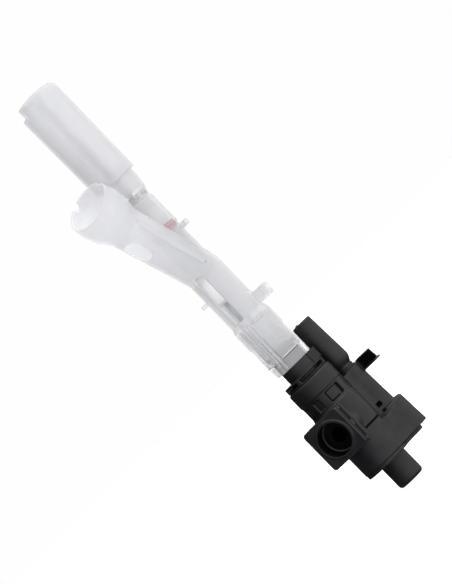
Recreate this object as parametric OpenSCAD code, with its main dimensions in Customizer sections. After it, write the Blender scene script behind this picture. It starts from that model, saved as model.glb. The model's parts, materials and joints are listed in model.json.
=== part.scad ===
// Float-controlled fill valve for a toilet cistern.
// A black piston valve with a side inlet carries a clear riser. The riser holds a slanted
// air-break funnel and an inverted-cup float, whose rod closes the pilot nozzle of the valve.
// Lengths are in millimetres. The origin is on the axis of the outlet spigot, where the spigot
// leaves the bottom cover. +Z runs up the riser, and the inlet port faces -Y.
// Heights in this file count from the open end of the spigot, and plan positions from the main
// axis of the barrel and the riser. placed() carries them to the origin.

/* [Outlet spigot] */
// Outside radius of the outlet spigot
spigot_r = 6.9; // [6.5:0.1:6.9]
// Bore radius of the outlet spigot
spigot_bore_r = 4.7; // [4:0.1:5]
// Length of the outlet spigot below the bottom cover
spigot_l = 13.3; // [10:0.1:14]
// Distance from the main axis back to the spigot axis
spigot_shift = 4.9; // [4:0.1:5]

/* [Valve body] */
// Outside radius of the main barrel
barrel_r = 12; // [11.8:0.1:12.2]
// Cylinder radius of the main barrel
cylinder_r = 10.4; // [10.3:0.05:10.5]
// Height of the top of the main barrel
barrel_top = 65.5; // [65:0.1:66]
// Height of the shoulder of the lower block
block_top = 32; // [31:0.1:32]
// Position of the side barrel beside the main axis, X
side_x = 9.2; // [9:0.1:9.4]
// Position of the side barrel behind the main axis, Y
side_y = 15.6; // [15.3:0.1:15.8]
// Outside radius of the side barrel at its top
side_r = 6.1; // [6:0.1:6.3]
// Outside radius of the lower block around the side barrel
side_block_r = 10.9; // [10.6:0.1:11.2]
// Bore radius of the side barrel
side_bore_r = 4.4; // [4.3:0.05:4.5]

/* [Inlet port] */
// Side of the square port block
port_side = 21.6; // [21:0.1:22.5]
// Bore radius of the port
port_r = 8; // [7.8:0.1:8.2]
// Height of the port axis
port_z = 38.3; // [38:0.1:38.6]
// Distance from the main axis to the port face
port_reach = 24; // [23.8:0.1:25]

/* [Riser] */
// Outside radius of the socket skirt
socket_r = 10.1; // [10:0.1:10.3]
// Height of the lower rim of the socket skirt
socket_bottom = 74.5; // [74.4:0.1:75]
// Outside radius of the main tube
tube_r = 9.1; // [9:0.05:9.2]
// Outside radius of the neck above the branch
neck_r = 7.4; // [7.3:0.05:7.5]
// Outside radius of the slanted branch where it leaves the main axis
branch_r = 8.7; // [8.6:0.05:8.75]
// Lean of the branch away from the main axis, in degrees
branch_lean = 33.7; // [33:0.1:35]
// Length of the branch from the main axis to the funnel rim
branch_l = 68.7; // [68:0.1:69]
// Outside radius of the funnel rim
funnel_r = 12.1; // [11.9:0.1:12.3]

/* [Float] */
// Outside radius of the float cup at its open rim
cup_rim_r = 10.95; // [10.8:0.05:11]
// Outside radius of the float cup below its dome
cup_top_r = 11.3; // [11.2:0.05:11.4]
// Height of the open rim of the float cup
cup_bottom = 189.2; // [189:0.1:190]
// Height of the top of the float cup
cup_top = 243.6; // [243:0.1:244.5]
// Lift of the float from rest to shut-off
float_travel = 7.5; // [5:0.1:7.6]

/* [Hidden] */
$fn = 64;
eps = 0.01;
over = 1;
slit = 0.3;

// Colours
black = "#2b2b2e";
clear = [0.86, 0.88, 0.9, 0.85];
beige = "#d9d2c4";
rubber = "#1b1b1c";
red = "#b03030";
steel = "#b8bcc0";

// Lower block and bottom cover
block_inset = 0.05;
cover_top = 15.1;
cover_side_r = 6.9;
block_bottom = cover_top + 0.1;
cover_lip_r = 10.3;
cover_lip_wall = 1.8;
cover_lip_top = 19;
cover_pocket_r = 3.2;
cover_pocket_floor = 14.4;
web_bottom = 27.5;
web_top = 29.5;
shoulder_round = 2.6;
side_block_draft = 0.8;
edge_round = 1.2;
spigot_round = 1.8;
seam_from = -49;
seam_to = 6;
seam_depth = 0.8;

// Web that joins the two barrels, and the water channel between them
barrel_join = [[6, 0], [10.9, 4.9], [12.2, 10], [9.2, 15.6], [3, 10.5]];
channel_x = 1;
channel_y = 8;
channel_size = [6, 5, 9];

// Side barrel
side_top = 55.4;
side_bore_top = 56;
side_angle = atan2(side_y, side_x);
side_reach = norm([side_x, side_y]);
vent_angle = -66;

// Barrel windows, where the bonnet's hooks catch, in a shallow recessed band
band_bottom = 49.2;
band_top = 57.4;
band_depth = 0.3;
window_bottom = 50.6;
window_top = 56;
hook_angles = [-40, -140, 120];
window_width = 42;
hook_from = -19;
hook_to = 8;
key_width = 18;
key_depth = 0.9;

// Port
port_back = 16.1;
port_corner = 1.6;
port_ring_r = 9.3;
port_ring_l = 0.5;
port_bore_end = 17.4;
filter_bore_r = 7.2;
port_floor = 14.6;
port_throat_r = 5.5;
port_web = 1.4;
clip_slot_w = 1.7;
clip_slot_l = 7.2;
clip_slot_gap = 2.8;
clip_slot_depth = 2.6;
clip_slot_back = 3.1;

// Seat, piston and bonnet
seat_r = 5.2;
seat_bore_r = 3.9;
seat_top = 44;
seat_chamfer = 0.6;
seat_flange_r = 7.4;
seat_plug_r = 5.95;
piston_r = 8.83;
piston_neck_r = 6.3;
piston_bottom = 45;
piston_skirt = 49;
piston_floor = 50.5;
piston_top = 57;
piston_cup_r = 6.4;
washer_pocket_r = 5.9;
washer_pocket_top = 45.9;
piston_groove_r = 7.6;
piston_groove = [52.4, 54.8];
bleed_r = 0.35;
liner_r = 8.9;
liner_bottom = 48.5;
crown_bottom = 64;
crown_top = 66.5;
nozzle_r = 2.6;
pilot_r = 1.5;
collar_r = 11.35;
collar_bottom = 65.7;
collar_top = 68.7;
flange_t = 0.6;
boss_r = 7.5;
boss_top = 84;
boss_flange_r = 7.9;
boss_groove = [79.9, 82.4];
boss_groove_r = 6.8;
top_spigot_r = 5.7;
top_spigot_end = 92;
top_spigot_bore_r = 3.6;
bridge_w = 5.2;
bridge_top = 74.3;

// Side cap, side piston and spring
cap_plug_bottom = 47;
cap_rim_r = 5.95;
cap_rim_z = 61.6;
cap_top_r = 5.05;
cap_top = 85.7;
cap_round = 0.8;
cap_bore_r = 3;
cap_bore_top = 83.4;
side_piston_r = side_bore_r - 0.07;
side_piston_bottom = 30;
side_piston_top = 38;
side_stem_r = 2;
side_boss_r = 1.9;

// Seals: each is named by its height and by the radius of its section
cover_seal_z = 17.2;
cover_seal_t = 0.55;
bonnet_land_r = cylinder_r - 0.05;
bonnet_seal_z = [49.5, 60.5];
bonnet_seal_t = 0.48;
spigot_seal_z = 88;
cap_land_r = side_bore_r - 0.03;
cap_seal_z = 51;
cap_seal_t = 0.4;
side_seal_z = 34;
side_seal_t = 0.5;

// Riser
skirt_inner_r = 8.3;
skirt_ceiling = 99.8;
socket_top = 102;
socket_tube_bottom = 85;
socket_bore_r = 5.8;
tube_bottom = 104.6;
tube_top = 134;
tube_bore_r = 7.7;
neck_bottom = 136;
neck_start = 141;
neck_top = 159.7;
neck_bore_r = 6.1;
neck_bead = 0.55;
branch_z = 131.6;
branch_wall = 1.2;
flare_start = 48.5;
flare_r = 9.65;
flare_mid = 56;
flare_mid_r = 12.1;
belly_d = 62;
belly_r = 12.7;
rim_notch_angles = [45, 135];
rim_notch_w = 3.4;
rim_notch_depth = 2.8;
window_turn = -19;
latch_angles = [-36, -144];
latch_span = 78;
latch_top = 101.2;
latch_bottom = 79.9;
latch_window_bottom = 87;
rim_wall = 0.9;
hook_r = 7.15;
hook_top = 82.1;

// Inner tube, its seal and the guide cone
inner_tube_r = 5.75;
inner_bore_r = 4.7;
seal_floor = 156.4;
seal_r = 6.6;
head_bottom = 159.9;
head_top = 175.4;
head_r = 7.8;
head_round = 1.6;
head_socket_r = 5.9;
cone_plug_bottom = 168.2;
vent_bottom = 176;
vent_top = 179;
cone_top = 192.5;
guide_tube_r = 2.6;
guide_tube_top = 217;

// Float
cup_wall = 1.1;
cup_corner = 4;
cup_crown = 45;
crown_flat = 0.03;
cup_boss_r = 2.6;
flat_angle = 206;
flat_distance = 9.4;
flat_bottom = 237.2;
rod_r = 1;
rod_top = 239.6;
washer_top = crown_bottom - 0.4 - float_travel;
washer_r = 3;
washer_t = 1.58;

module placed() {
    translate([0, -spigot_shift, -spigot_l]) children();
}

module at_side() {
    translate([side_x, side_y, 0]) children();
}

// Plain tube between two heights
module tube(outer_r, inner_r, bottom, top) {
    translate([0, 0, bottom]) {
        difference() {
            cylinder(r = outer_r, h = top - bottom);
            translate([0, 0, -eps]) cylinder(r = inner_r, h = top - bottom + 2 * eps);
        }
    }
}

module rod(r, bottom, top) {
    translate([0, 0, bottom]) cylinder(r = r, h = top - bottom);
}

module taper(bottom_r, top_r, bottom, top) {
    translate([0, 0, bottom]) cylinder(r1 = bottom_r, r2 = top_r, h = top - bottom);
}

// Cylinder whose top edge is rounded by a quarter circle
module round_top(r, bottom, top, edge) {
    rotate_extrude() {
        translate([0, bottom]) square([r, top - bottom - edge]);
        translate([0, bottom]) square([r - edge, top - bottom]);
        intersection() {
            translate([r - edge, top - edge]) circle(r = edge);
            translate([0, bottom]) square([r + edge, top - bottom]);
        }
    }
}

// O-ring that stands just proud of a land, and the groove that it lies in
module seal_ring(land_r, section_r, height) {
    rotate_extrude() translate([land_r - section_r + 0.02, height]) circle(r = section_r, $fn = 24);
}

module seal_groove(land_r, section_r, height) {
    half = section_r + 0.06;
    tube(land_r + over, land_r - 2 * section_r - 0.02, height - half, height + half);
}

// Sector of a ring, from one angle to another
module sector(outer_r, inner_r, bottom, top, from_angle, to_angle) {
    rotate([0, 0, from_angle])
        rotate_extrude(angle = to_angle - from_angle)
            translate([inner_r, bottom]) square([outer_r - inner_r, top - bottom]);
}

// Frame of the slanted branch: Z runs up the branch from the main axis
module on_branch() {
    translate([0, 0, branch_z]) rotate([branch_lean, 0, 0]) children();
}

// Frame of the port: Z runs from the main axis towards the port face
module on_port() {
    translate([0, 0, port_z]) rotate([90, 0, 0]) children();
}

// Plan of the lower block: a disc round each axis, joined by a straight stretch
module block_outline(main_r, side_part_r) {
    circle(r = main_r);
    translate([side_x, side_y]) circle(r = side_part_r);
    half = side_part_r - block_inset;
    rotate(side_angle) translate([0, -half]) square([side_reach, 2 * half]);
}

// Quadrilateral between the tangents of the two discs, a little inside them
module block_tangents(main_r, side_part_r) {
    lean = acos((main_r - side_part_r) / side_reach);
    main = main_r - block_inset;
    side = side_part_r - block_inset;
    rotate(side_angle) polygon([
        [main * cos(lean), main * sin(lean)],
        [side_reach + side * cos(lean), side * sin(lean)],
        [side_reach + side * cos(lean), -side * sin(lean)],
        [main * cos(lean), -main * sin(lean)]
    ]);
}

// Coil spring as a swept tube that turns about the main axis
module coil(mean_r, wire_r, bottom, top, turns) {
    around = 6;
    per_turn = 16;
    steps = turns * per_turn;
    points = [
        for (i = [0:steps]) for (k = [0:around - 1])
            let (a = 360 * i / per_turn, b = 360 * k / around)
            let (r = mean_r + wire_r * cos(b))
            [r * cos(a), r * sin(a), bottom + (top - bottom) * i / steps + wire_r * sin(b)]
    ];
    sides = [
        for (i = [0:steps - 1]) for (k = [0:around - 1])
            let (n = (k + 1) % around)
            [i * around + k, i * around + n, (i + 1) * around + n, (i + 1) * around + k]
    ];
    first = [for (k = [around - 1:-1:0]) k];
    last = [for (k = [0:around - 1]) steps * around + k];
    polyhedron(points, concat(sides, [first, last]), convexity = 10);
}

// ---- Black valve ----

module port_block() {
    inner = port_side - 2 * port_corner;
    on_port() {
        translate([0, 0, port_back]) {
            linear_extrude(port_reach - port_back) {
                square([port_side, inner], center = true);
                square([inner, port_side], center = true);
                for (sx = [-1, 1], sz = [-1, 1])
                    translate([sx * inner / 2, sz * inner / 2]) circle(r = port_corner);
            }
        }
        rod(port_ring_r, 0, port_reach + port_ring_l);
    }
}

// Four webs that brace the port block against the barrel
module port_webs() {
    web_x = 7.6;
    web_z = 5.5;
    rise = 8;
    foot = 3;
    for (side = [-1, 1], up = [-1, 1]) {
        translate([side * web_x - port_web / 2, -port_back - eps, port_z + up * web_z]) {
            rotate([90, 0, 90]) {
                linear_extrude(port_web)
                    polygon([[0, -foot], [0, foot], [rise, foot - 5 * up], [rise, -foot - 5 * up]]);
            }
        }
    }
}

module port_cuts() {
    on_port() {
        rod(port_r, port_bore_end, port_reach + 2 * over);
        rod(filter_bore_r, port_floor, port_bore_end + eps);
        rod(port_throat_r, 0, port_floor + eps);
    }
    for (side = [-1, 1], up = [-1, 1]) {
        slot_z = port_z + up * (clip_slot_gap + clip_slot_l) / 2 - clip_slot_l / 2;
        low_x = side > 0 ? port_side / 2 - clip_slot_depth : -port_side / 2 - over;
        translate([low_x, clip_slot_back - port_reach, slot_z])
            cube([clip_slot_depth + over, clip_slot_w, clip_slot_l]);
    }
}

// Bracket behind the side barrel: a root, a back, a floor with a lip, and a roof
module side_bracket() {
    root_x = 10.5;
    inner_x = 14.4;
    pocket_x = 15.6;
    outer_x = 21.6;
    lean = 0.6;
    lip = 1.9;
    front_y = 17.2;
    depth = 5.5;
    low_z = 49.9;
    high_z = 56.2;
    floor_t = 0.8;
    roof_t = 0.6;
    back_t = 0.9;
    lip_top = low_z + floor_t - 0.1;
    far_x = outer_x + lip + over;
    translate([0, front_y + depth, 0]) rotate([90, 0, 0]) {
        difference() {
            linear_extrude(depth)
                polygon([
                    [inner_x, low_z], [outer_x + lip, low_z], [outer_x + lip, lip_top],
                    [outer_x + lean, lip_top], [outer_x, high_z], [inner_x, high_z]
                ]);
            translate([pocket_x, low_z + floor_t, back_t])
                cube([far_x - pocket_x, high_z - roof_t - low_z - floor_t, depth]);
        }
    }
    translate([root_x, front_y + 0.7, low_z + 0.3])
        cube([pocket_x - root_x - 0.2, depth - 1.2, side_top - low_z - 0.5]);
}

// Web between the two barrels, whose outer face runs flush from one to the other
module barrel_web() {
    translate([0, 0, web_bottom + 0.4])
        linear_extrude(side_top - web_bottom - 1) polygon(barrel_join);
}

// Vents on the front of the side barrel
module side_vents() {
    at_side() rotate([0, 0, vent_angle]) {
        translate([4.9, -1.3, 33.6]) cube([4, 2.6, 2.3]);
        translate([6.2, -0.9, 30.7]) cube([5, 1.8, 1.2]);
    }
}

module body_shell() {
    lower_side_r = side_r + 0.75;
    translate([0, 0, block_bottom]) {
        linear_extrude(block_top - shoulder_round - block_bottom)
            block_tangents(barrel_r, side_block_r - side_block_draft);
    }
    round_top(barrel_r, block_bottom, barrel_top, edge_round);
    at_side() {
        intersection() {
            round_top(side_block_r, block_bottom, block_top, shoulder_round);
            taper(side_block_r, side_block_r - side_block_draft, block_bottom, block_top);
        }
        taper(lower_side_r, side_r, block_top - over, side_top - 5);
        rod(side_r, side_top - 5 - eps, side_top);
    }
    rod(barrel_r + 0.15, block_bottom, block_top - 0.5);
    barrel_web();
    port_block();
    port_webs();
    side_bracket();
}

module body_bores() {
    rod(cylinder_r, block_bottom - over, web_bottom);
    rod(cylinder_r, web_top, barrel_top + over);
    rod(seat_plug_r + 0.05, web_bottom - over, web_top + over);
    at_side() rod(side_bore_r, block_bottom - over, side_bore_top);
    translate([channel_x, channel_y, block_bottom - over]) cube(channel_size);
}

// Windows for the bonnet's hooks, the key recess between them, and their shallow band
module barrel_windows() {
    for (a = hook_angles)
        sector(barrel_r + 2, cylinder_r - over, window_bottom, window_top,
            a - window_width / 2, a + window_width / 2);
    sector(barrel_r + 2, barrel_r - key_depth, window_bottom, window_top,
        -90 - key_width / 2, -90 + key_width / 2);
    sector(barrel_r + 2, barrel_r - band_depth, band_bottom, band_top, -170, 20);
}

module valve_body() {
    color(black) placed() {
        difference() {
            body_shell();
            body_bores();
            port_cuts();
            barrel_windows();
            side_vents();
            sector(barrel_r + 2, barrel_r - seam_depth, block_top - 0.4, block_top + 0.4,
                seam_from, seam_to);
        }
    }
}

module bottom_cover() {
    color(black) placed() {
        difference() {
            union() {
                translate([0, 0, spigot_l]) {
                    linear_extrude(cover_top - spigot_l) block_outline(barrel_r - 0.1, cover_side_r);
                }
                tube(cover_lip_r, cover_lip_r - cover_lip_wall, cover_top - eps, cover_lip_top);
                translate([0, spigot_shift, 0]) outlet_spigot();
            }
            translate([0, spigot_shift, 0]) rod(spigot_bore_r, -over, cover_top + over);
            seal_groove(cover_lip_r, cover_seal_t, cover_seal_z);
            at_side() rod(cover_pocket_r, cover_pocket_floor, cover_top + over);
        }
    }
}

// Outlet spigot with a rounded open end
module outlet_spigot() {
    rotate_extrude() {
        translate([0, spigot_round]) square([spigot_r, spigot_l + over - spigot_round]);
        square([spigot_r - spigot_round, spigot_l]);
        intersection() {
            translate([spigot_r - spigot_round, spigot_round]) circle(r = spigot_round);
            square([spigot_r + over, spigot_l]);
        }
    }
}

module cover_seal() {
    color(rubber) placed() seal_ring(cover_lip_r, cover_seal_t, cover_seal_z);
}

// Filter basket of the inlet: a flange, a slotted wall and a spoked end
module inlet_filter() {
    flange = [16.1, 17.3];
    basket_r = 5.1;
    basket_wall = 0.8;
    basket_end = 8;
    slot_w = 1.4;
    slot_l = 5;
    spoke_w = 1;
    spoke_l = 9.2;
    color(black) placed() {
        on_port() {
            tube(filter_bore_r - 0.05, 3.6, flange[0], flange[1]);
            difference() {
                tube(basket_r, basket_r - basket_wall, basket_end + 0.6, flange[0] + 0.1);
                for (a = [0:30:150])
                    rotate([0, 0, a]) translate([-6, -slot_w / 2, 9.8]) cube([12, slot_w, slot_l]);
            }
            tube(basket_r, 1, basket_end, basket_end + 0.8);
            for (a = [0:60:120])
                rotate([0, 0, a]) translate([-spoke_l / 2, -spoke_w / 2, basket_end + 0.1])
                    cube([spoke_l, spoke_w, 0.6]);
        }
    }
}

module inlet_washer() {
    color(rubber) placed() on_port() tube(filter_bore_r - 0.05, 5.3, port_floor + 0.02, 16.05);
}

module seat_nozzle() {
    color(beige) placed() {
        difference() {
            union() {
                rod(seat_plug_r, web_bottom - 0.6, web_top);
                rod(seat_flange_r, web_top + 0.02, web_top + 1.2);
                rod(seat_r, web_top, seat_top - seat_chamfer);
                taper(seat_r, seat_r - seat_chamfer, seat_top - seat_chamfer - eps, seat_top);
            }
            rod(seat_bore_r, web_bottom - 2 * over, seat_top + over);
        }
    }
}

module valve_piston() {
    color(beige) placed() {
        difference() {
            union() {
                rod(piston_neck_r, piston_bottom, piston_skirt + 0.2);
                rod(piston_r, piston_skirt, piston_top);
            }
            rod(washer_pocket_r, piston_bottom - over, washer_pocket_top);
            rod(piston_cup_r, piston_floor, piston_top + over);
            tube(piston_r + over, piston_groove_r, piston_groove[0], piston_groove[1]);
            translate([piston_cup_r + 0.8, 0, 0]) rod(bleed_r, piston_skirt - over, piston_groove[0] + 0.6);
        }
    }
}

// Cup seal of the piston, with a lip that the pressure opens
module piston_seal() {
    lip_gap = [8, 8.35];
    color(rubber) placed() {
        difference() {
            tube(piston_r + 0.02, piston_groove_r + 0.05, piston_groove[0] + 0.1, piston_groove[1] - 0.1);
            tube(lip_gap[1], lip_gap[0], 53.6, 55);
        }
    }
}

module seat_washer() {
    color(rubber) placed() rod(washer_pocket_r - 0.05, seat_top + 0.05, washer_pocket_top - 0.05);
}

module piston_spring() {
    wire_r = 0.4;
    color(steel) placed() coil(5, wire_r, piston_floor + wire_r + 0.05, crown_bottom - wire_r - 0.05, 5);
}

// Slotted collar between the barrel and the riser: two flanges with posts between them
module bonnet_collar() {
    post_top = collar_top - flange_t / 2;
    rod(collar_r, barrel_top + 0.05, collar_bottom + 0.3);
    rod(collar_r, collar_top - flange_t, collar_top);
    for (a = [-87, 93])
        sector(collar_r, boss_r - 0.5, collar_bottom, post_top, a - 5, a + 5);
    for (a = [14, 206])
        sector(collar_r, boss_r - 0.5, collar_bottom, post_top, a - 11, a + 11);
}

// Arm that reaches from the bonnet to the side cap and keeps the bonnet from turning
module bonnet_bridge() {
    difference() {
        rotate([0, 0, side_angle])
            translate([boss_r - 0.5, -bridge_w / 2, collar_top - eps])
                cube([6, bridge_w, bridge_top - collar_top]);
        at_side() rod(cap_rim_r, collar_top - over, bridge_top + over);
    }
}

// Bonnet with hooks, pilot nozzle, slotted collar and the spigot that holds the riser
module bonnet() {
    color(black) placed() {
        difference() {
            union() {
                tube(bonnet_land_r, liner_r, liner_bottom, crown_top);
                for (a = hook_angles)
                    sector(barrel_r - 0.5, cylinder_r - 0.5, window_bottom + 0.4, window_top - 0.2,
                        a + hook_from, a + hook_to);
                rod(liner_r + 0.5, crown_bottom, crown_top);
                rod(nozzle_r, crown_bottom - 0.4, crown_top);
                bonnet_collar();
                bonnet_bridge();
                rod(boss_r, collar_bottom, boss_top);
                rod(boss_flange_r, boss_groove[1], boss_top);
                rod(top_spigot_r, boss_top - over, top_spigot_end);
            }
            for (h = bonnet_seal_z) seal_groove(bonnet_land_r, bonnet_seal_t, h);
            seal_groove(top_spigot_r, bonnet_seal_t, spigot_seal_z);
            tube(boss_flange_r + over, boss_groove_r, boss_groove[0], boss_groove[1]);
            rod(pilot_r, crown_bottom - over, crown_top + over);
            rod(top_spigot_bore_r, crown_top, top_spigot_end + over);
        }
    }
}

module bonnet_seals() {
    color(rubber) placed() {
        for (h = bonnet_seal_z) seal_ring(bonnet_land_r, bonnet_seal_t, h);
    }
}

module spigot_seal() {
    color(rubber) placed() seal_ring(top_spigot_r, bonnet_seal_t, spigot_seal_z);
}

module side_cap() {
    neck = 4;
    color(black) placed() at_side() {
        difference() {
            union() {
                rod(cap_land_r, cap_plug_bottom, 57);
                rod(5.3, side_top + 0.05, 56.2);
                rod(neck, 56, 58.2);
                rod(neck + 0.6, 56.8, 57.4);
                taper(neck + 0.1, cap_rim_r - 0.4, 57.4, cap_rim_z - 1.6);
                taper(cap_rim_r - 0.4, cap_rim_r, cap_rim_z - 1.6 - eps, cap_rim_z);
                taper(cap_rim_r, cap_top_r, cap_rim_z - eps, cap_top - 2);
                round_top(cap_top_r, cap_top - 2 - eps, cap_top, cap_round);
                translate([-1.8, -1.4, cap_top - 0.2]) rod(0.7, 0, 0.7);
            }
            rod(cap_bore_r, cap_plug_bottom - over, cap_bore_top);
            seal_groove(cap_land_r, cap_seal_t, cap_seal_z);
        }
    }
}

module side_cap_seal() {
    color(rubber) placed() at_side() seal_ring(cap_land_r, cap_seal_t, cap_seal_z);
}

module side_piston() {
    color(beige) placed() at_side() {
        difference() {
            union() {
                rod(side_piston_r, side_piston_bottom, side_piston_top);
                rod(side_stem_r, side_piston_bottom - 4, side_piston_bottom + 0.5);
                rod(side_boss_r, side_piston_top - over, side_piston_top + 3);
            }
            seal_groove(side_piston_r, side_seal_t, side_seal_z);
        }
    }
}

module side_piston_seal() {
    color(rubber) placed() at_side() seal_ring(side_piston_r, side_seal_t, side_seal_z);
}

module side_spring() {
    wire_r = 0.3;
    color(steel) placed() at_side()
        coil(2.5, wire_r, side_piston_top + wire_r + 0.05, cap_bore_top - wire_r - 0.1, 13);
}

// ---- Clear riser ----

// Rounded slot on the -Y face of the riser, cut from outside to inside
module front_slot(width, bottom, top, from_y, to_y) {
    translate([0, to_y, 0]) rotate([90, 0, 0]) {
        linear_extrude(to_y - from_y) {
            translate([-width / 2, bottom]) square([width, top - bottom - width / 2]);
            translate([0, top - width / 2]) circle(r = width / 2);
        }
    }
}

module riser_shell() {
    rod(socket_r, socket_bottom, socket_top);
    taper(socket_r, tube_r, socket_top - eps, tube_bottom);
    rod(tube_r, tube_bottom - eps, tube_top);
    taper(tube_r, neck_r, tube_top - eps, neck_start);
    rod(neck_r, neck_start - eps, neck_top);
    rod(neck_r + neck_bead, neck_top - 1.6, neck_top);
    on_branch() {
        taper(branch_r, flare_r, -over, flare_start);
        taper(flare_r, flare_mid_r, flare_start - eps, flare_mid);
        taper(flare_mid_r, belly_r, flare_mid - eps, belly_d);
        taper(belly_r, funnel_r, belly_d - eps, branch_l);
    }
}

module funnel_bore() {
    on_branch() {
        taper(branch_r - branch_wall, flare_r - branch_wall, -2 * over, flare_start + eps);
        taper(flare_r - branch_wall, flare_mid_r - branch_wall, flare_start, flare_mid);
        taper(flare_mid_r - branch_wall, belly_r - branch_wall, flare_mid - eps, belly_d);
        taper(belly_r - branch_wall, funnel_r - branch_wall, belly_d - eps, branch_l + eps);
    }
}

module riser_bores() {
    rod(skirt_inner_r, socket_bottom - over, skirt_ceiling);
    rod(tube_bore_r, tube_bottom, neck_bottom);
    rod(neck_bore_r, tube_bottom - 5, neck_top + over);
    difference() {
        funnel_bore();
        rod(neck_r, neck_bottom, neck_top + 4);
        rod(neck_r + neck_bead, neck_top - 4, neck_top + 4);
        rod(tube_r, tube_bottom, tube_top - 10);
    }
    rod(seal_r + 0.05, seal_floor, neck_top + over);
    rod(head_r + 0.1, head_bottom - 0.1, head_bottom + 2);
}

// Two notches in the back of the funnel rim
module rim_notches() {
    on_branch() {
        for (a = rim_notch_angles)
            rotate([0, 0, a]) translate([0, 0, branch_l - rim_notch_depth]) {
                rotate([90, 0, 90]) linear_extrude(20)
                    polygon([
                        [-rim_notch_w / 4, 0], [rim_notch_w / 4, 0],
                        [rim_notch_w / 2, 1], [rim_notch_w / 2 + 0.4, 4],
                        [-rim_notch_w / 2 - 0.4, 4], [-rim_notch_w / 2, 1]
                    ]);
            }
    }
}

// Rounded window through the lower wall of the branch
module branch_window(width, length, from) {
    on_branch() rotate([0, 0, window_turn]) translate([0, 3 - branch_r, from]) rotate([90, 0, 0]) {
        linear_extrude(6) {
            translate([-width / 2, width / 2]) square([width, length - width]);
            translate([0, width / 2]) circle(r = width / 2);
            translate([0, length - width / 2]) circle(r = width / 2);
        }
    }
}

// Tab on the +X side, with a thicker end and a fillet above its root
module mounting_tab() {
    tab_h = 6.1;
    tab_t = 2.4;
    tip_x = 17.9;
    tip_l = 3;
    fillet = 2.8;
    translate([tube_r - over, -tab_t / 2, tube_bottom]) cube([tip_x - tube_r + over, tab_t, tab_h]);
    translate([tip_x - tip_l, -tab_t / 2 - 0.6, tube_bottom]) cube([tip_l, tab_t + 1.2, tab_h]);
    translate([0, tab_t / 2, tube_bottom + tab_h]) rotate([90, 0, 0]) {
        linear_extrude(tab_t) {
            difference() {
                translate([tube_r - over, -eps]) square([fillet + over - 0.2, fillet - 0.2]);
                translate([tube_r + fillet - 0.2, fillet]) circle(r = fillet);
            }
        }
    }
}

module side_pegs() {
    left_tip = -13.5;
    right_tip = 12.2;
    translate([left_tip, 0, 120.9]) rotate([0, 90, 0]) cylinder(r = 1.05, h = -left_tip - tube_bore_r - 0.5);
    translate([neck_r - 0.3, 0, 154.4]) rotate([0, 90, 0]) cylinder(r = 1.4, h = right_tip - neck_r + 0.3);
}

// Openings that free the latches, over a thin rim that closes the skirt below them
module latch_openings() {
    half = latch_span / 2 + 2;
    inner_r = skirt_inner_r - 0.6;
    for (a = latch_angles) {
        sector(socket_r + 2, inner_r, latch_bottom - slit, latch_top + slit, a - half, a + half);
        sector(socket_r - rim_wall, inner_r, socket_bottom - over, latch_bottom, a - half, a + half);
    }
}

module riser_body() {
    color(clear) placed() {
        difference() {
            union() {
                difference() {
                    riser_shell();
                    riser_bores();
                }
                tube(socket_bore_r + 1.4, socket_bore_r, socket_tube_bottom, skirt_ceiling + eps);
                side_pegs();
                mounting_tab();
            }
            rod(socket_bore_r, socket_tube_bottom - over, tube_bottom + 0.5);
            latch_openings();
            front_slot(4.4, 117, 136, -tube_r - 2, 1.2 - tube_bore_r);
            sector(tube_r + over, tube_r - 0.7, tube_bottom + 0.4, 116, -104, -76);
            branch_window(9, 14, 31.5);
            rim_notches();
        }
    }
}

// Spring latch in the socket skirt, with a hook under the bonnet's flange. Its window lies
// between two angles from the middle of the latch.
module latch(angle, window_from, window_to) {
    half = latch_span / 2;
    hook_half = half - 8;
    difference() {
        union() {
            sector(socket_r, skirt_inner_r + 0.1, latch_bottom, latch_top, angle - half, angle + half);
            sector(skirt_inner_r + 0.5, hook_r, latch_bottom + 0.3, hook_top,
                angle - hook_half, angle + hook_half);
        }
        sector(socket_r + over, socket_r - 0.5, latch_window_bottom, latch_top - 0.8,
            angle + window_from, angle + window_to);
    }
}

module latch_right() {
    color(clear) placed() latch(latch_angles[0], -37, 5);
}

module latch_left() {
    color(clear) placed() latch(latch_angles[1], -5, 37);
}

module inner_tube() {
    color(clear) placed() {
        tube(inner_tube_r, inner_bore_r, tube_bottom + 0.1, head_bottom + eps);
        difference() {
            round_top(head_r, head_bottom, head_top, head_round);
            rod(head_socket_r, head_bottom + 1.2, head_top + over);
            rod(inner_bore_r, head_bottom - over, head_bottom + 2 * over);
        }
    }
}

// Seal between the neck and the inner tube, pressed down by the tube head
module tube_seal() {
    color(red) placed() tube(seal_r, inner_tube_r + 0.05, seal_floor + 0.05, head_bottom - 0.05);
}

module cone_shell() {
    rotate_extrude() polygon([
        [0, cone_plug_bottom], [5.8, cone_plug_bottom], [5.8, head_top - 0.8],
        [5.9, head_top + 0.05], [7.1, head_top + 0.05], [7.1, 176.6], [7.75, 177.6], [8.45, 180.2],
        [8.85, 183], [9.15, 188.3], [9.2, cone_top], [0, cone_top]
    ]);
    rod(guide_tube_r, 180, guide_tube_top);
}

// Vents round the neck of the cone, a wide one and a narrow one in each quarter
module cone_vents() {
    for (k = [0:3]) {
        sector(9, 5.2, vent_bottom, vent_top, 90 * k - 92, 90 * k - 62);
        sector(9, 5.2, vent_bottom + 0.4, vent_top - 0.4, 90 * k - 49, 90 * k - 42);
    }
}

module guide_cone() {
    color(clear) placed() {
        difference() {
            cone_shell();
            difference() {
                rotate_extrude() polygon([
                    [0, 180.6], [7.1, 180.6], [7.9, 188.3], [8.1, cone_top + 0.5], [0, cone_top + 0.5]
                ]);
                rod(guide_tube_r, 179, cone_top + over);
            }
            rod(inner_bore_r, cone_plug_bottom - over, vent_top);
            rod(rod_r + 0.35, cone_plug_bottom - over, guide_tube_top + over);
            cone_vents();
        }
    }
}

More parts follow.
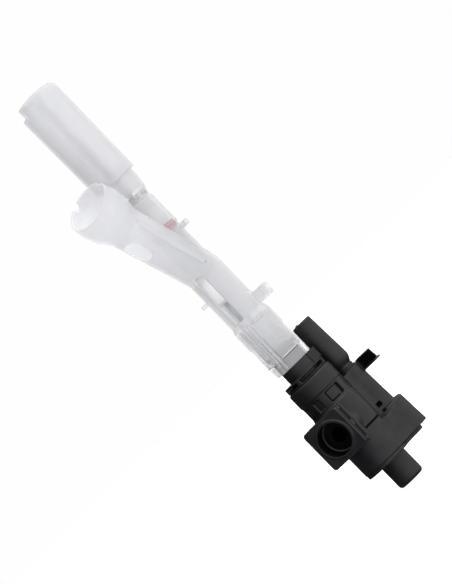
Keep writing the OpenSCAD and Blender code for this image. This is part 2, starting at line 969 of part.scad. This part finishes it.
// Half section of the cup, inset from its outside: straight side, corner arc and crowned top
module cup_section(inset) {
    crown = cup_crown - inset;
    corner = cup_corner - inset;
    corner_x = cup_top_r - cup_corner;
    lean = asin(corner_x / (cup_crown - cup_corner));
    crown_z = cup_top - cup_crown;
    corner_z = crown_z + (cup_crown - cup_corner) * cos(lean);
    polygon([
        [0, cup_bottom], [cup_rim_r - inset, cup_bottom], [cup_top_r - inset, corner_z], [0, corner_z]
    ]);
    translate([corner_x, corner_z]) circle(r = corner);
    intersection() {
        translate([0, crown_z]) circle(r = crown, $fn = 128);
        polygon([
            [0, corner_z - eps], [corner_x, corner_z - eps],
            [crown * sin(lean), crown_z + crown * cos(lean)],
            [crown * sin(lean), cup_top - inset - crown_flat], [0, cup_top - inset - crown_flat]
        ]);
    }
}

// Solid of revolution from the half section, closed below the rim by a given length
module cup_solid(inset, below) {
    rotate_extrude() {
        intersection() {
            cup_section(inset);
            translate([0, cup_bottom - over])
                square([cup_top_r + over, cup_top - cup_bottom + 2 * over]);
        }
        translate([0, cup_bottom - below]) square([cup_rim_r - inset, below + eps]);
    }
}

module at_flat() {
    rotate([0, 0, flat_angle]) children();
}

module float_cup() {
    color(clear) placed() {
        difference() {
            union() {
                difference() {
                    cup_solid(0, eps);
                    cup_solid(cup_wall, over);
                }
                rod(cup_boss_r, guide_tube_top + 0.4, cup_top - 0.8);
                intersection() {
                    at_flat() translate([flat_distance - cup_wall, -7, flat_bottom - cup_wall])
                        cube([3, 14, 5.4]);
                    rod(cup_top_r - 0.3, cup_bottom, cup_top);
                }
            }
            rod(rod_r + 0.02, guide_tube_top - over, rod_top + 0.1);
            at_flat() translate([flat_distance, -8, flat_bottom]) cube([4, 16, 8]);
        }
    }
}

module float_rod() {
    foot_top = washer_top - washer_t - 0.02;
    color(beige) placed() {
        rod(rod_r, foot_top - 0.8, rod_top);
        rod(washer_r - 0.6, foot_top - 0.8, foot_top);
    }
}

module pilot_washer() {
    color(rubber) placed() tube(washer_r, rod_r + 0.02, washer_top - washer_t, washer_top);
}

valve_body();
bottom_cover();
cover_seal();
inlet_filter();
inlet_washer();
seat_nozzle();
valve_piston();
piston_seal();
seat_washer();
piston_spring();
bonnet();
bonnet_seals();
side_cap();
side_cap_seal();
side_piston();
side_piston_seal();
side_spring();
spigot_seal();
riser_body();
latch_right();
latch_left();
inner_tube();
tube_seal();
guide_cone();
float_cup();
float_rod();
pilot_washer();
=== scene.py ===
"""Looks of the toilet fill valve: a black piston valve, a milky riser with a slanted funnel, and a cup float.

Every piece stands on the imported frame, in metres. The camera is rolled, so that the upright valve
lies on the picture's diagonal with the float at the upper left.
"""

import json
import math

import bmesh
import bpy
from mathutils import Matrix, Vector


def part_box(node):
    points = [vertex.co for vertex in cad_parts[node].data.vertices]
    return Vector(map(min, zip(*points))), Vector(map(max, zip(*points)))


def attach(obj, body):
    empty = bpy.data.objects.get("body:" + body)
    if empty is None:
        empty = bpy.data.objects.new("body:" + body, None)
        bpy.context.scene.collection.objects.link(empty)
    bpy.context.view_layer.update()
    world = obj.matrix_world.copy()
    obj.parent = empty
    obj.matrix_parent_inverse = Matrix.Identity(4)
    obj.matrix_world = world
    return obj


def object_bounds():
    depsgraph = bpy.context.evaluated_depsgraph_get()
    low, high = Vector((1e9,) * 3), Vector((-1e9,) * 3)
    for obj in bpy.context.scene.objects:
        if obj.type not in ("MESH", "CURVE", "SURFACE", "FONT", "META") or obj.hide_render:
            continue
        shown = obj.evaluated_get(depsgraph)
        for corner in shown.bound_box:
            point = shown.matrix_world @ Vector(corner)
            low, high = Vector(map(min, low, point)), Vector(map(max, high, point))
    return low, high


MM = 0.001
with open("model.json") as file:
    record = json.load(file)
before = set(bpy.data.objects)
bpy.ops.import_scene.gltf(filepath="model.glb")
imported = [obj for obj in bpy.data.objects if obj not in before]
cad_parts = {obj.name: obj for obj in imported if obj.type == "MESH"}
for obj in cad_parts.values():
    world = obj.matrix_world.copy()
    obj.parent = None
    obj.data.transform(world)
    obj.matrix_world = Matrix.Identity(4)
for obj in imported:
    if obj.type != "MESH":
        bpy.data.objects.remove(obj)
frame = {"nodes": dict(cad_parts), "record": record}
cad_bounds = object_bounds()
nodes = frame["nodes"]

# ---- Camera ----

VIEW_AZIMUTH = math.radians(25.8)
VIEW_ELEVATION = math.radians(0.0)
VIEW_ROLL = math.radians(44.3)
VIEW_DISTANCE = 2.0
VIEW_HEIGHT = 0.2628          # height of the picture at the valve
SENSOR = 36.0
AIM_RIGHT = 0.83              # where the camera aims: right of the main axis, in millimetres
AIM_DOWN = 124.4              # and down from the top of the float

# ---- Strength of the light ----

WORLD_LOW = 0.04              # from the side away from the light
WORLD_HIGH = 1.35             # from the light's side
BACKDROP = 0.99               # seen by the camera only
WORLD_FACING = (-0.4, 0.9)    # how far a direction faces the light, at the low and at the high end
KEY_POWER = 2.0
KEY_DISTANCE = 0.9
FILL_POWER = 9.0              # gives no gloss, so the black parts keep their shade
BEHIND_POWER = 14.0           # shines through the milky parts


def view_axes():
    """Right, up and back directions of the camera before it is rolled."""
    sa, ca = math.sin(VIEW_AZIMUTH), math.cos(VIEW_AZIMUTH)
    se, ce = math.sin(VIEW_ELEVATION), math.cos(VIEW_ELEVATION)
    back = Vector((sa * ce, -ca * ce, se))
    right = Vector((ca, sa, 0))
    return right, back.cross(right), back


def main_axis():
    """Plan position of the valve's main axis, which the float rod stands on."""
    low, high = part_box("float_rod")
    return (low.x + high.x) / 2, (low.y + high.y) / 2


AXIS_X, AXIS_Y = main_axis()
BASE_Z = cad_bounds[0][2]     # height of the spigot's open end


def add_camera():
    right, up, back = view_axes()
    aim = Vector((AXIS_X, AXIS_Y, 0)) + right * AIM_RIGHT * MM
    aim.z = cad_bounds[1][2] - AIM_DOWN * MM
    camera_right = right * math.cos(VIEW_ROLL) - up * math.sin(VIEW_ROLL)
    camera_up = up * math.cos(VIEW_ROLL) + right * math.sin(VIEW_ROLL)
    turn = Matrix((camera_right, camera_up, back)).transposed().to_4x4()
    data = bpy.data.cameras.new("camera")
    data.sensor_width = SENSOR
    data.lens = SENSOR * VIEW_DISTANCE / VIEW_HEIGHT
    data.clip_end = 50
    camera = bpy.data.objects.new("camera", data)
    camera.matrix_world = Matrix.Translation(aim + back * VIEW_DISTANCE) @ turn
    bpy.context.scene.collection.objects.link(camera)
    bpy.context.scene.camera = camera
    return aim


# ---- Light and floor ----

def add_area(name, place, aim, size, power):
    data = bpy.data.lights.new(name, "AREA")
    data.shape = "DISK"
    data.size = size
    data.energy = power
    lamp = bpy.data.objects.new(name, data)
    lamp.location = place
    lamp.rotation_euler = (aim - place).to_track_quat("-Z", "Y").to_euler()
    bpy.context.scene.collection.objects.link(lamp)
    return lamp


def add_studio(aim):
    """Soft light from the top of the picture, two lamps for the milky parts, and a white backdrop.

    Only the camera sees the backdrop. The part itself is lit by a world that gets brighter towards
    the light.
    """
    right, up, back = view_axes()
    sky = (right * math.sin(VIEW_ROLL) + up * math.cos(VIEW_ROLL) + back * 0.5).normalized()
    world = bpy.data.worlds.new("studio")
    world.use_nodes = True
    tree = world.node_tree
    link = tree.links.new
    place = tree.nodes.new("ShaderNodeTexCoord")
    facing = tree.nodes.new("ShaderNodeVectorMath")
    facing.operation = "DOT_PRODUCT"
    facing.inputs[1].default_value = sky
    link(place.outputs["Generated"], facing.inputs[0])
    level = tree.nodes.new("ShaderNodeMapRange")
    level.interpolation_type = "SMOOTHSTEP"
    level.inputs["From Min"].default_value, level.inputs["From Max"].default_value = WORLD_FACING
    level.inputs["To Min"].default_value = WORLD_LOW
    level.inputs["To Max"].default_value = WORLD_HIGH
    link(facing.outputs["Value"], level.inputs["Value"])
    path = tree.nodes.new("ShaderNodeLightPath")
    strength = tree.nodes.new("ShaderNodeMix")
    strength.inputs["B"].default_value = BACKDROP
    link(path.outputs["Is Camera Ray"], strength.inputs["Factor"])
    link(level.outputs["Result"], strength.inputs["A"])
    background = tree.nodes["Background"]
    background.inputs["Color"].default_value = (1, 1, 1, 1)
    link(strength.outputs["Result"], background.inputs["Strength"])
    bpy.context.scene.world = world
    add_area("key", aim + sky * KEY_DISTANCE, aim, 0.5, KEY_POWER)
    fill = add_area("fill", aim + back * 0.7 - right * 0.3 - up * 0.8, aim, 1.0, FILL_POWER)
    behind = add_area("behind", aim - back * 0.9 - up * 0.5 - right * 0.4, aim, 1.0, BEHIND_POWER)
    for lamp in (fill, behind):
        lamp.visible_glossy = False
        lamp.visible_camera = False
    bpy.context.scene.view_settings.view_transform = "Standard"


def add_floor():
    size = 6.0
    mesh = bpy.data.meshes.new("floor")
    corners = [(-size, -size), (size, -size), (size, size), (-size, size)]
    mesh.from_pydata([(x, y, BASE_Z) for x, y in corners], [], [(0, 1, 2, 3)])
    floor = bpy.data.objects.new("floor", mesh)
    bpy.context.scene.collection.objects.link(floor)
    material, _, shader = new_material("pale_floor")
    shader.inputs["Base Color"].default_value = (0.9, 0.9, 0.9, 1)
    shader.inputs["Roughness"].default_value = 0.9
    shader.inputs["Emission Color"].default_value = (1, 1, 1, 1)
    shader.inputs["Emission Strength"].default_value = 0.8
    mesh.materials.append(material)
    floor.visible_diffuse = False
    floor.visible_glossy = False
    floor.visible_shadow = False      # the fill lamps stand lower than the floor


# ---- Materials ----

MILKY_CLEAR = 0.5             # part of the light that goes straight through a milky wall
THIN_RIM_CLEAR = 0.66         # and through the thin rim under the latches
THIN_RIM_Z = (79.0, 81.0)     # where that rim ends, in millimetres from the spigot's open end
MILKY_GLOW = 0.45             # part of the rest that is scattered through the wall


def new_material(name):
    material = bpy.data.materials.new(name)
    material.use_nodes = True
    tree = material.node_tree
    shader = tree.nodes["Principled BSDF"]
    return material, tree, shader


def noise(tree, scale, detail=3, roughness=0.5):
    """Noise that is fixed to the piece, with its scale in features per metre."""
    place = tree.nodes.new("ShaderNodeTexCoord")
    node = tree.nodes.new("ShaderNodeTexNoise")
    node.inputs["Scale"].default_value = scale
    node.inputs["Detail"].default_value = detail
    node.inputs["Roughness"].default_value = roughness
    tree.links.new(place.outputs["Object"], node.inputs["Vector"])
    return node.outputs["Fac"]


def ramp(tree, factor, low, high, start=0.3, end=0.7):
    """Two colours mixed by a factor."""
    node = tree.nodes.new("ShaderNodeValToRGB")
    first, last = node.color_ramp.elements
    first.position, first.color = start, (*low, 1)
    last.position, last.color = end, (*high, 1)
    tree.links.new(factor, node.inputs["Fac"])
    return node.outputs["Color"]


def spread(tree, factor, low, high):
    """A factor from 0 to 1 carried to a range of values."""
    node = tree.nodes.new("ShaderNodeMapRange")
    node.inputs["From Min"].default_value = 0.3
    node.inputs["From Max"].default_value = 0.7
    node.inputs["To Min"].default_value = low
    node.inputs["To Max"].default_value = high
    tree.links.new(factor, node.inputs["Value"])
    return node.outputs["Result"]


def bump(tree, height, strength, distance):
    node = tree.nodes.new("ShaderNodeBump")
    node.inputs["Strength"].default_value = strength
    node.inputs["Distance"].default_value = distance
    tree.links.new(height, node.inputs["Height"])
    return node.outputs["Normal"]


def moulded(name, dark, light, rough, grain=900, depth=0.03 * MM, gloss=0.35):
    """Moulded plastic or rubber: blotchy colour, uneven gloss and a fine grain."""
    material, tree, shader = new_material(name)
    link = tree.links.new
    link(ramp(tree, noise(tree, 160), dark, light), shader.inputs["Base Color"])
    link(spread(tree, noise(tree, 420), rough - 0.06, rough + 0.06), shader.inputs["Roughness"])
    link(bump(tree, noise(tree, grain, 5), 0.35, depth), shader.inputs["Normal"])
    shader.inputs["Specular IOR Level"].default_value = gloss
    return material


def by_height(tree, low_z, high_z, low_value, high_value):
    """A value that changes between two heights of the part, where its wall gets thicker."""
    place = tree.nodes.new("ShaderNodeTexCoord")
    split = tree.nodes.new("ShaderNodeSeparateXYZ")
    tree.links.new(place.outputs["Object"], split.inputs["Vector"])
    node = tree.nodes.new("ShaderNodeMapRange")
    node.interpolation_type = "SMOOTHSTEP"
    node.inputs["From Min"].default_value = low_z
    node.inputs["From Max"].default_value = high_z
    node.inputs["To Min"].default_value = low_value
    node.inputs["To Max"].default_value = high_value
    tree.links.new(split.outputs["Z"], node.inputs["Value"])
    return node.outputs["Result"]


def milky(name, tint, rough):
    """Unpigmented plastic: part clear, part milky, and lit from both sides."""
    material, tree, shader = new_material(name)
    link = tree.links.new
    colour = ramp(tree, noise(tree, 90), [0.98 * c for c in tint], tint)
    link(colour, shader.inputs["Base Color"])
    link(spread(tree, noise(tree, 300), rough - 0.05, rough + 0.05), shader.inputs["Roughness"])
    normal = bump(tree, noise(tree, 500, 4), 0.3, 0.03 * MM)
    link(normal, shader.inputs["Normal"])
    shader.inputs["IOR"].default_value = 1.49
    glow = tree.nodes.new("ShaderNodeBsdfTranslucent")
    link(colour, glow.inputs["Color"])
    clear = tree.nodes.new("ShaderNodeBsdfTransparent")
    clear.inputs["Color"].default_value = (0.97, 0.97, 0.98, 1)
    body = tree.nodes.new("ShaderNodeMixShader")
    body.inputs["Fac"].default_value = MILKY_GLOW
    link(shader.outputs["BSDF"], body.inputs[1])
    link(glow.outputs["BSDF"], body.inputs[2])
    whole = tree.nodes.new("ShaderNodeMixShader")
    thin_to, thick_from = BASE_Z + THIN_RIM_Z[0] * MM, BASE_Z + THIN_RIM_Z[1] * MM
    link(by_height(tree, thin_to, thick_from, THIN_RIM_CLEAR, MILKY_CLEAR), whole.inputs["Fac"])
    link(body.outputs["Shader"], whole.inputs[1])
    link(clear.outputs["BSDF"], whole.inputs[2])
    link(whole.outputs["Shader"], tree.nodes["Material Output"].inputs["Surface"])
    return material


def spring_wire():
    material, tree, shader = new_material("spring_wire")
    link = tree.links.new
    link(ramp(tree, noise(tree, 700), (0.42, 0.43, 0.45), (0.6, 0.61, 0.63)), shader.inputs["Base Color"])
    link(spread(tree, noise(tree, 1500), 0.22, 0.38), shader.inputs["Roughness"])
    shader.inputs["Metallic"].default_value = 1.0
    return material


def make_materials():
    return {
        "black_plastic": moulded("black_plastic", (0.006, 0.006, 0.007), (0.012, 0.012, 0.014), 0.38),
        "clear_plastic": milky("clear_plastic", (0.79, 0.792, 0.805), 0.35),
        "beige_plastic": moulded("beige_plastic", (0.66, 0.62, 0.54), (0.72, 0.68, 0.6), 0.45),
        "black_rubber": moulded("black_rubber", (0.015, 0.015, 0.015), (0.028, 0.028, 0.028), 0.7),
        "dense_plastic": moulded("dense_plastic", (0.74, 0.74, 0.755), (0.79, 0.79, 0.805), 0.5, gloss=0.2),
        # slot_shade and vent_shade: grey painted shade for the sheets in the front slot and the cone vents
        "slot_shade": moulded("slot_shade", (0.36, 0.36, 0.39), (0.41, 0.41, 0.44), 0.7, gloss=0.1),
        "vent_shade": moulded("vent_shade", (0.5, 0.5, 0.51), (0.56, 0.56, 0.57), 0.7, gloss=0.1),
        # painted_shade_black: near-black painted shade for sheets and nodes set where only shade falls
        "painted_shade_black": moulded("painted_shade_black", (0.002, 0.002, 0.002), (0.004, 0.004, 0.004), 0.9, gloss=0.05),
        "red_rubber": moulded("red_rubber", (0.5, 0.008, 0.01), (0.6, 0.015, 0.016), 0.6),
        "spring_steel": spring_wire(),
    }


# ---- Soft edges on the frame's own nodes ----

# Voxel size of each softened node, in millimetres
SOFT_NODES = {
    "valve_body": 0.22, "bottom_cover": 0.25, "bonnet": 0.2, "side_cap": 0.2, "riser_body": 0.3,
    "latch_right": 0.2, "latch_left": 0.2, "guide_cone": 0.2, "float_cup": 0.25, "inner_tube": 0.25,
    "tube_seal": 0.15, "inlet_filter": 0.15,
}
# Painted shade: these nodes get near-black instead of their own finish, deep in the port where no light comes
SHADE_PAINTED_NODES = ("inlet_filter", "inlet_washer")     # deep in the port, where no light comes


def soften(node, voxel):
    """Rounds a node's edges as a mould does."""
    remesh = node.modifiers.new("skin", "REMESH")
    remesh.mode = "VOXEL"
    remesh.voxel_size = voxel * MM
    remesh.use_smooth_shade = True
    smooth = node.modifiers.new("round", "SMOOTH")
    smooth.factor = 0.5
    smooth.iterations = 4


def dress_nodes(materials):
    slots = {s["node"]: s["material_slot"] for s in frame["record"]["subparts"]}
    for name, node in nodes.items():
        node.data.materials.clear()
        # Painted shade: the nodes deep in the port are painted near-black
        finish = "painted_shade_black" if name in SHADE_PAINTED_NODES else slots[name]
        node.data.materials.append(materials[finish])
        if name in SOFT_NODES:
            soften(node, SOFT_NODES[name])


# ---- Moulded details that ride on the valve, and sheets of painted shade ----

# Lengths are in millimetres, as in the part's own design, and angles are written in degrees. Heights
# count from the open end of the spigot.
BRANCH_LEAN = math.radians(33.7)
BRANCH_Z = 131.6
BRANCH_R = 8.7
FLARE_R = 9.65
FLARE_START = 48.5
SEAM_TURN = math.radians(62.8)
TUBE_R = 9.1
SKIRT_R = 10.1
SKIRT_RIBS = {"skirt_rib_right": (-83.2, 75.4), "skirt_rib_left": (-93.0, 79.2)}     # angle, foot
SKIRT_RIB_TOP = 101.4
SKIRT_BEADS = (-93.0, 87.6, 95.4, 5)              # angle, first, last and count
SKIRT_PIPS = ((-85.9, 83.9), (-95.9, 78.6))       # angle and height of each
LATCHES = (("right_latch", -36.0, 1), ("left_latch", -144.0, -1))     # body, middle, outer side
BARREL_R = 12.0
PORT_Z = 38.3
PLATE_HALF = 10.8
SIDE_X, SIDE_Y = 9.2, 15.6
SIDE_VENT_ANGLE = math.radians(-66.0)
SIDE_VENT_R = 4.95
SIDE_VENT_Z = 34.75
CUP_TOP = 243.35

# Painted shade sheets set in openings, and the pane over the front slot: radius, thickness, first and last
# angle, bottom and top
SHOULDER_SHADE_SHEET = (12.22, 0.6, -49.0, 4.0, 31.55, 32.0)
SLOT_SHADE_SHEET = (8.75, 0.2, -90.0, -77.0, 105.0, 115.8)
SLOT_PANE = (9.02, 0.4, -103.5, -76.5, 117.2, 133.2)
WIDE_VENT_SHADE = (6.9, 0.3, -90.5, -63.5, 176.1, 178.9)
NARROW_VENT_SHADE = (7.2, 0.3, -48.7, -42.3, 176.5, 178.5)


def at(x, y, z):
    """A point in millimetres from the main axis and from the spigot's open end."""
    return Vector((AXIS_X + x * MM, AXIS_Y + y * MM, BASE_Z + z * MM))


def round_axis(radius, degrees, z):
    a = math.radians(degrees)
    return at(radius * math.cos(a), radius * math.sin(a), z)


def on_branch(x, y, d):
    """A point in the frame of the slanted branch, d millimetres up from the main axis."""
    sin, cos = math.sin(BRANCH_LEAN), math.cos(BRANCH_LEAN)
    return at(x, y * cos - d * sin, BRANCH_Z + y * sin + d * cos)


def add_piece(name, bm, material, body="valve"):
    bmesh.ops.recalc_face_normals(bm, faces=bm.faces)
    mesh = bpy.data.meshes.new(name)
    bm.to_mesh(mesh)
    bm.free()
    mesh.shade_smooth()
    mesh.materials.append(material)
    piece = bpy.data.objects.new(name, mesh)
    bpy.context.scene.collection.objects.link(piece)
    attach(piece, body)
    return piece


def sweep(bm, points, width, height, out, closed=False, sides=12, tip=0.4):
    """A bar of oval section along points. out gives the direction that its height stands in."""
    count = len(points)
    rings = []
    for i, point in enumerate(points):
        before = points[i - 1] if i or closed else point
        after = points[(i + 1) % count] if i < count - 1 or closed else point
        along = (after - before).normalized()
        up = out(point)
        up = (up - along * up.dot(along)).normalized()
        across = along.cross(up)
        ring = []
        for k in range(sides):
            a = 2 * math.pi * k / sides
            offset = across * (math.cos(a) * width / 2) + up * (math.sin(a) * height)
            ring.append(bm.verts.new(point + offset * MM))
        rings.append(ring)
    last = count if closed else count - 1
    for i in range(last):
        low, high = rings[i], rings[(i + 1) % count]
        for k in range(sides):
            n = (k + 1) % sides
            bm.faces.new((low[k], low[n], high[n], high[k]))
    if not closed:
        for ring, point, inner in ((rings[0], points[0], points[1]), (rings[-1], points[-1], points[-2])):
            end = bm.verts.new(point + (point - inner).normalized() * tip * width * MM)
            for k in range(sides):
                bm.faces.new((ring[k], ring[(k + 1) % sides], end))


def from_axis(point):
    return Vector((point.x - AXIS_X, point.y - AXIS_Y, 0)).normalized()


def steps(first, last, count):
    return [first + (last - first) * i / (count - 1) for i in range(count)]


def join_rings(bm, rings):
    """Faces between closed rings of the same number of points."""
    for low, high in zip(rings, rings[1:]):
        count = len(low)
        for k in range(count):
            n = (k + 1) % count
            bm.faces.new((low[k], low[n], high[n], high[k]))


def thin_skin(piece):
    """Gives an open sheet a thickness."""
    skin = piece.modifiers.new("thickness", "SOLIDIFY")
    skin.thickness = 0.06 * MM
    skin.offset = 0


def dome(bm, place, out, radius, height):
    """A small raised pip with a round top."""
    out = out.normalized()
    side = out.orthogonal().normalized()
    other = out.cross(side)
    count = 16
    rings = []
    for level in (-0.3, 0.0, 0.35, 0.65, 0.88):
        r = radius * math.cos(math.asin(max(level, 0)))
        ring = []
        for k in range(count):
            a = 2 * math.pi * k / count
            offset = side * (r * math.cos(a)) + other * (r * math.sin(a)) + out * (level * height)
            ring.append(bm.verts.new(place + offset * MM))
        rings.append(ring)
    join_rings(bm, rings)
    top = bm.verts.new(place + out * height * MM)
    for k in range(count):
        bm.faces.new((rings[-1][k], rings[-1][(k + 1) % count], top))
    bm.faces.new(rings[0])


def skirt_details(material):
    """Ribs, beads and pips on the front of the socket skirt, between the latches."""
    for name, (angle, low) in SKIRT_RIBS.items():
        bm = bmesh.new()
        points = [round_axis(SKIRT_R, angle, z) for z in steps(low, SKIRT_RIB_TOP, 12)]
        sweep(bm, points, 0.9, 0.32, from_axis)
        add_piece(name, bm, material)
    bm = bmesh.new()
    angle, first, last, count = SKIRT_BEADS
    for z in steps(first, last, count):
        place = round_axis(SKIRT_R + 0.2, angle, z)
        dome(bm, place, from_axis(place), 0.55, 0.35)
    add_piece("skirt_beads", bm, material)
    bm = bmesh.new()
    for angle, z in SKIRT_PIPS:
        place = round_axis(SKIRT_R, angle, z)
        dome(bm, place, from_axis(place), 0.85, 0.55)
    add_piece("skirt_pips", bm, material)


def latch_lips(material):
    """A rounded lip along the lower edge of each latch, turned up at its outer end."""
    for body, middle, side in LATCHES:
        path = [(a, 80.35) for a in steps(-37.5, 30.0, 18)]
        path += [(33.4, 80.6), (36.0, 81.3), (37.4, 82.6), (37.8, 84.6)]
        points = [round_axis(SKIRT_R - 0.05, middle + side * a, z) for a, z in path]
        bm = bmesh.new()
        sweep(bm, points, 0.8, 0.22, from_axis)
        add_piece(f"{body}_lip", bm, material, body=body)


def solid_cores(material):
    """The thick middles of the tab and the peg, where the milky plastic lets less light through."""
    bars = {
        "tab_core": (9.4, 17.6, 107.65, 5.7, 1.0),
        "right_peg_core": (7.6, 11.6, 154.4, 2.5, 1.25),
    }
    for name, (first_x, last_x, z, width, half_height) in bars.items():
        bm = bmesh.new()
        points = [at(x, 0, z) for x in steps(first_x, last_x, 6)]
        sweep(bm, points, width, half_height, lambda p: Vector((0, 1, 0)), tip=0.1)
        add_piece(name, bm, material)


def branch_details(material):
    """The raised seam along the right of the branch, which fades out under the funnel."""
    sin, cos = math.sin(SEAM_TURN), math.cos(SEAM_TURN)
    out = on_branch(sin, -cos, 0) - on_branch(0, 0, 0)
    bm = bmesh.new()
    points = []
    for d in steps(8.0, 47.0, 24):
        r = BRANCH_R + (FLARE_R - BRANCH_R) * d / FLARE_START
        points.append(on_branch(r * sin, -r * cos, d))
    sweep(bm, points, 3.4, 0.09, lambda p: out)
    add_piece("branch_seam", bm, material)


def plate_frames(material):
    """A raised rim round the clip slots on each side of the port plate."""
    plate_y, half_y, half_z, corner = -20.05, 1.75, 10.1, 1.2
    for side, name in ((1, "clip_rim_right"), (-1, "clip_rim_left")):
        points = []
        for cy, cz, start in ((1, 1, 0), (-1, 1, 90), (-1, -1, 180), (1, -1, 270)):
            for k in range(5):
                a = math.radians(start + 22.5 * k)
                y = cy * (half_y - corner) + corner * math.cos(a)
                z = cz * (half_z - corner) + corner * math.sin(a)
                points.append(at(side * PLATE_HALF, plate_y + y, PORT_Z + z))
        bm = bmesh.new()
        sweep(bm, points, 0.8, 0.4, lambda p: Vector((side, 0, 0)), closed=True)
        add_piece(name, bm, material)


def arc_band(bm, radius, thick, from_angle, to_angle, low, high, count=14):
    """A thin curved plate round the main axis."""
    outline = ((radius - thick, low), (radius, low), (radius, high), (radius - thick, high))
    rings = []
    for angle in steps(from_angle, to_angle, count):
        rings.append([bm.verts.new(round_axis(r, angle, z)) for r, z in outline])
    join_rings(bm, rings)
    bm.faces.new(rings[0])
    bm.faces.new(rings[-1][::-1])


def shade_in_openings(materials):
    """Painted shade in the openings: a near-black sheet in the valve's shoulder slit, grey sheets in the
    milky parts' slot and vents, and a pale pane over the front slot.
    """
    bm = bmesh.new()
    arc_band(bm, *SHOULDER_SHADE_SHEET)
    add_piece("shoulder_slit_painted_shade", bm, materials["painted_shade_black"])
    bm = bmesh.new()
    arc_band(bm, *SLOT_SHADE_SHEET)
    add_piece("front_slot_painted_shade", bm, materials["slot_shade"])
    bm = bmesh.new()
    arc_band(bm, *SLOT_PANE)
    add_piece("front_slot_pane", bm, materials["dense_plastic"])
    bm = bmesh.new()
    for turn in (0, 90, 180, 270):
        for radius, thick, first, last, low, high in (WIDE_VENT_SHADE, NARROW_VENT_SHADE):
            arc_band(bm, radius, thick, turn + first, turn + last, low, high)
    add_piece("vent_painted_shade", bm, materials["vent_shade"])


def bracket_painted_shade(material):
    """Painted shade: a near-black sheet over the inside of the bracket behind the side barrel."""
    inner_x, root_x, outer_x = 14.8, 15.66, 21.7
    front_y, back_y = 17.14, 21.74
    low_z, high_z = 50.76, 55.54
    corner = 0.8
    path = [(inner_x, front_y), (root_x, front_y), (root_x, back_y - corner)]
    for k in range(1, 6):
        a = math.radians(180 - 18 * k)
        path.append((root_x + corner + corner * math.cos(a), back_y - corner + corner * math.sin(a)))
    path.append((outer_x, back_y))
    bm = bmesh.new()
    rows = [[bm.verts.new(at(x, y, z)) for x, y in path] for z in steps(low_z, high_z, 4)]
    for low, high in zip(rows, rows[1:]):
        for k in range(len(path) - 1):
            bm.faces.new((low[k], low[k + 1], high[k + 1], high[k]))
    thin_skin(add_piece("bracket_painted_shade", bm, material))


def bracket_lip(material):
    """The rolled edge of the bracket's floor."""
    front_y, outer_x, floor_z = 17.35, 22.95, 50.4
    path = [(x, front_y) for x in steps(15.0, 22.2, 8)]
    path += [(22.75, 17.5), (outer_x, 18.0)]
    path += [(outer_x, y) for y in steps(18.6, 22.2, 6)]
    bm = bmesh.new()
    sweep(bm, [at(x, y, floor_z) for x, y in path], 0.8, 0.45, lambda p: Vector((0, 0, 1)))
    add_piece("bracket_lip", bm, material)


def side_vent_painted_shade(material):
    """Painted shade: a near-black low pip at the bottom of the vent in the side barrel."""
    out = Vector((math.cos(SIDE_VENT_ANGLE), math.sin(SIDE_VENT_ANGLE), 0))
    place = at(SIDE_X + SIDE_VENT_R * out.x, SIDE_Y + SIDE_VENT_R * out.y, SIDE_VENT_Z)
    bm = bmesh.new()
    dome(bm, place, out, 1.15, 0.12)
    add_piece("side_vent_painted_shade", bm, material)


def port_painted_shade(material):
    """Painted shade: a near-black sheet over the wall of the port bore, rolled over its mouth and down to the
    filter.
    """
    # Radius, and distance from the main axis towards the mouth
    profile = [(8.25, 24.3), (8.1, 24.42), (7.97, 24.3), (7.93, 23.8), (7.93, 17.45)]
    bm = bmesh.new()
    count = 72
    rings = []
    for r, y in profile:
        ring = []
        for k in range(count):
            a = 2 * math.pi * k / count
            ring.append(bm.verts.new(at(r * math.cos(a), -y, PORT_Z + r * math.sin(a))))
        rings.append(ring)
    join_rings(bm, rings)
    thin_skin(add_piece("port_painted_shade", bm, material))


def mould_lines(materials):
    """Parting lines left by the mould halves, and the mark where the plastic went in."""
    black, clear = materials["black_plastic"], materials["clear_plastic"]
    bm = bmesh.new()
    for angle in (-178.0, 20.0):
        sweep(bm, [round_axis(BARREL_R, angle, z) for z in steps(33.0, 63.8, 12)], 0.3, 0.1, from_axis)
    add_piece("barrel_parting_lines", bm, black)
    bm = bmesh.new()
    for angle in (0.0, 180.0):
        sweep(bm, [round_axis(TUBE_R, angle, z) for z in steps(112.5, 131.0, 10)], 0.3, 0.1, from_axis)
    add_piece("riser_parting_lines", bm, clear)
    bm = bmesh.new()
    dome(bm, at(0, 0, CUP_TOP), Vector((0, 0, 1)), 1.1, 0.2)
    add_piece("cup_gate_mark", bm, clear, body="float")


def add_details(materials):
    skirt_details(materials["clear_plastic"])
    latch_lips(materials["clear_plastic"])
    solid_cores(materials["dense_plastic"])
    branch_details(materials["clear_plastic"])
    plate_frames(materials["black_plastic"])
    mould_lines(materials)
    shade_in_openings(materials)
    bracket_painted_shade(materials["painted_shade_black"])
    bracket_lip(materials["black_plastic"])
    side_vent_painted_shade(materials["painted_shade_black"])
    port_painted_shade(materials["painted_shade_black"])


aim_point = add_camera()
add_studio(aim_point)
add_floor()
all_materials = make_materials()
dress_nodes(all_materials)
add_details(all_materials)
